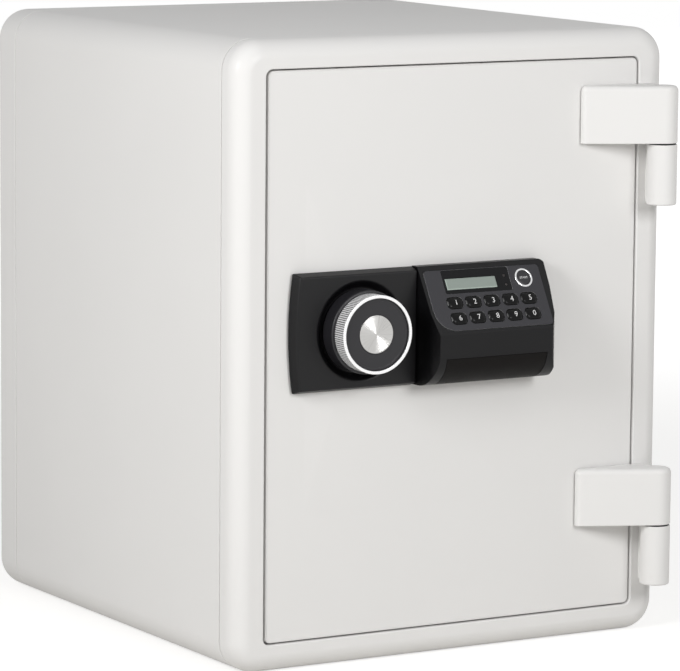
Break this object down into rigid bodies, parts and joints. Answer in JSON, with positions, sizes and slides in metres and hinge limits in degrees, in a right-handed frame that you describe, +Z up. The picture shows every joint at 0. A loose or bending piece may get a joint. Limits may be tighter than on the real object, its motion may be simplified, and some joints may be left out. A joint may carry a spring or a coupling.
{
  "type": "electronic safe",
  "caption": "Boxy fire safe with rounded edges: hinged door with round knob, sloped keypad with display, sliding locking bolts, shelf inside.",
  "frame": {"origin": "centre of the flat base: middle of the body's width and depth, at the height of the floor", "axes": "+Z up, +Y from the door towards the back, +X to the right seen from the front (hinge side)"},
  "size_m": [0.412, 0.4745, 0.512],
  "materials": {
    "white_paint": "satin off-white powder coat",
    "liner_paint": "satin off-white paint",
    "panel_paint": "light grey hammered paint",
    "fire_fill": "cast light concrete",
    "black_plastic": "moulded, fine grain",
    "black_knob": "moulded, satin",
    "fascia": "moulded, fine grain",
    "window": "glossy dark window",
    "display": "grey-green liquid crystal block",
    "lamp": "smoked lens",
    "bright_ring": "bright metal",
    "spun_metal": "spun disc",
    "knob_metal": "fluted, satin",
    "key": "soft black",
    "mat": "moulded grey mat",
    "board": "green circuit board",
    "battery": "wrapped cell",
    "seal": "extruded",
    "cable": "sheathed lead",
    "steel": "turned or rolled steel",
    "zinc": "zinc plated",
    "washer": "turned black polymer"
  },
  "bodies": {
    "cabinet": {"front_frame": "white_paint", "body_wrap": "white_paint", "back_cover": "white_paint", "fire_fill": "fire_fill", "inner_liner": "liner_paint", "door_jamb": "white_paint", "bolt_keepers": "zinc", "shelf_rails": "liner_paint", "shelf": "liner_paint", "hinge_knuckle_upper": "white_paint", "hinge_knuckle_lower": "white_paint", "hinge_pins": "steel", "hinge_washers": "washer"},
    "door": {"door_skin": "white_paint", "door_fill": "fire_fill", "door_plug": "white_paint", "door_back_panel": "panel_paint", "panel_screws": "steel", "door_seal": "seal", "hinge_leaf_upper": "white_paint", "hinge_leaf_lower": "white_paint", "fixed_bolts": "steel", "lock_plate": "steel", "bolt_guides": "zinc", "spindle_tube": "steel", "solenoid_case": "zinc", "plunger_spring": "steel", "knob_plate": "black_plastic", "keypad_housing": "black_plastic", "keypad_fascia": "fascia", "display_window": "window", "display": "display", "indicator_lamps": "lamp", "start_ring": "bright_ring", "key_mat": "mat", "keypad_board": "board", "battery_tray": "black_plastic", "batteries": "battery", "lock_cable": "cable"},
    "knob": {"knob_skirt": "black_knob", "knob_ring": "knob_metal", "knob_face": "black_knob", "knob_cap": "spun_metal", "spindle": "steel", "lock_cam": "zinc"},
    "boltwork": {"bolt_plate": "zinc", "live_bolts": "steel"},
    "plunger": {"lock_plunger": "steel"},
    "battery_cover": {"battery_cover": "black_plastic"},
    "start_button": {"start_button": "black_knob"},
    "key_1": {"key_1": "key"},
    "key_2": {"key_2": "key"},
    "key_3": {"key_3": "key"},
    "key_4": {"key_4": "key"},
    "key_5": {"key_5": "key"},
    "key_6": {"key_6": "key"},
    "key_7": {"key_7": "key"},
    "key_8": {"key_8": "key"},
    "key_9": {"key_9": "key"},
    "key_0": {"key_0": "key"}
  },
  "joints": [
    {"name": "door_hinge", "type": "hinge", "parent": "cabinet", "child": "door", "pos_m": [0.188, -0.2395, 0.256], "axis": [0, 0, 1], "range_deg": [0, 150]},
    {"name": "knob_turn", "type": "hinge", "parent": "door", "child": "knob", "pos_m": [-0.0945, -0.218, 0.276], "axis": [0, 1, 0], "range_deg": [0, 60.3]},
    {"name": "bolt_slide", "type": "slide", "parent": "door", "child": "boltwork", "axis": [-1, 0, 0], "range_m": [0, 0.02]},
    {"name": "plunger_slide", "type": "slide", "parent": "door", "child": "plunger", "axis": [0, 0, 1], "range_m": [0, 0.006], "deforming": ["plunger_spring"]},
    {"name": "battery_cover_pull", "type": "slide", "parent": "door", "child": "battery_cover", "axis": [0, -0.7071, -0.7071], "range_m": [0, 0.03]},
    {"name": "start_press", "type": "slide", "parent": "door", "child": "start_button", "axis": [0, 0.866, -0.5], "range_m": [0, 0.0008], "stiffness_N_per_m": 1800},
    {"name": "key_1_press", "type": "slide", "parent": "door", "child": "key_1", "axis": [0, 0.866, -0.5], "range_m": [0, 0.001], "stiffness_N_per_m": 1500},
    {"name": "key_2_press", "type": "slide", "parent": "door", "child": "key_2", "axis": [0, 0.866, -0.5], "range_m": [0, 0.001], "stiffness_N_per_m": 1500},
    {"name": "key_3_press", "type": "slide", "parent": "door", "child": "key_3", "axis": [0, 0.866, -0.5], "range_m": [0, 0.001], "stiffness_N_per_m": 1500},
    {"name": "key_4_press", "type": "slide", "parent": "door", "child": "key_4", "axis": [0, 0.866, -0.5], "range_m": [0, 0.001], "stiffness_N_per_m": 1500},
    {"name": "key_5_press", "type": "slide", "parent": "door", "child": "key_5", "axis": [0, 0.866, -0.5], "range_m": [0, 0.001], "stiffness_N_per_m": 1500},
    {"name": "key_6_press", "type": "slide", "parent": "door", "child": "key_6", "axis": [0, 0.866, -0.5], "range_m": [0, 0.001], "stiffness_N_per_m": 1500},
    {"name": "key_7_press", "type": "slide", "parent": "door", "child": "key_7", "axis": [0, 0.866, -0.5], "range_m": [0, 0.001], "stiffness_N_per_m": 1500},
    {"name": "key_8_press", "type": "slide", "parent": "door", "child": "key_8", "axis": [0, 0.866, -0.5], "range_m": [0, 0.001], "stiffness_N_per_m": 1500},
    {"name": "key_9_press", "type": "slide", "parent": "door", "child": "key_9", "axis": [0, 0.866, -0.5], "range_m": [0, 0.001], "stiffness_N_per_m": 1500},
    {"name": "key_0_press", "type": "slide", "parent": "door", "child": "key_0", "axis": [0, 0.866, -0.5], "range_m": [0, 0.001], "stiffness_N_per_m": 1500}
  ],
  "couplings": [
    {"joint": "knob_turn", "follows": "bolt_slide", "rad_per_m": 52.36}
  ]
}
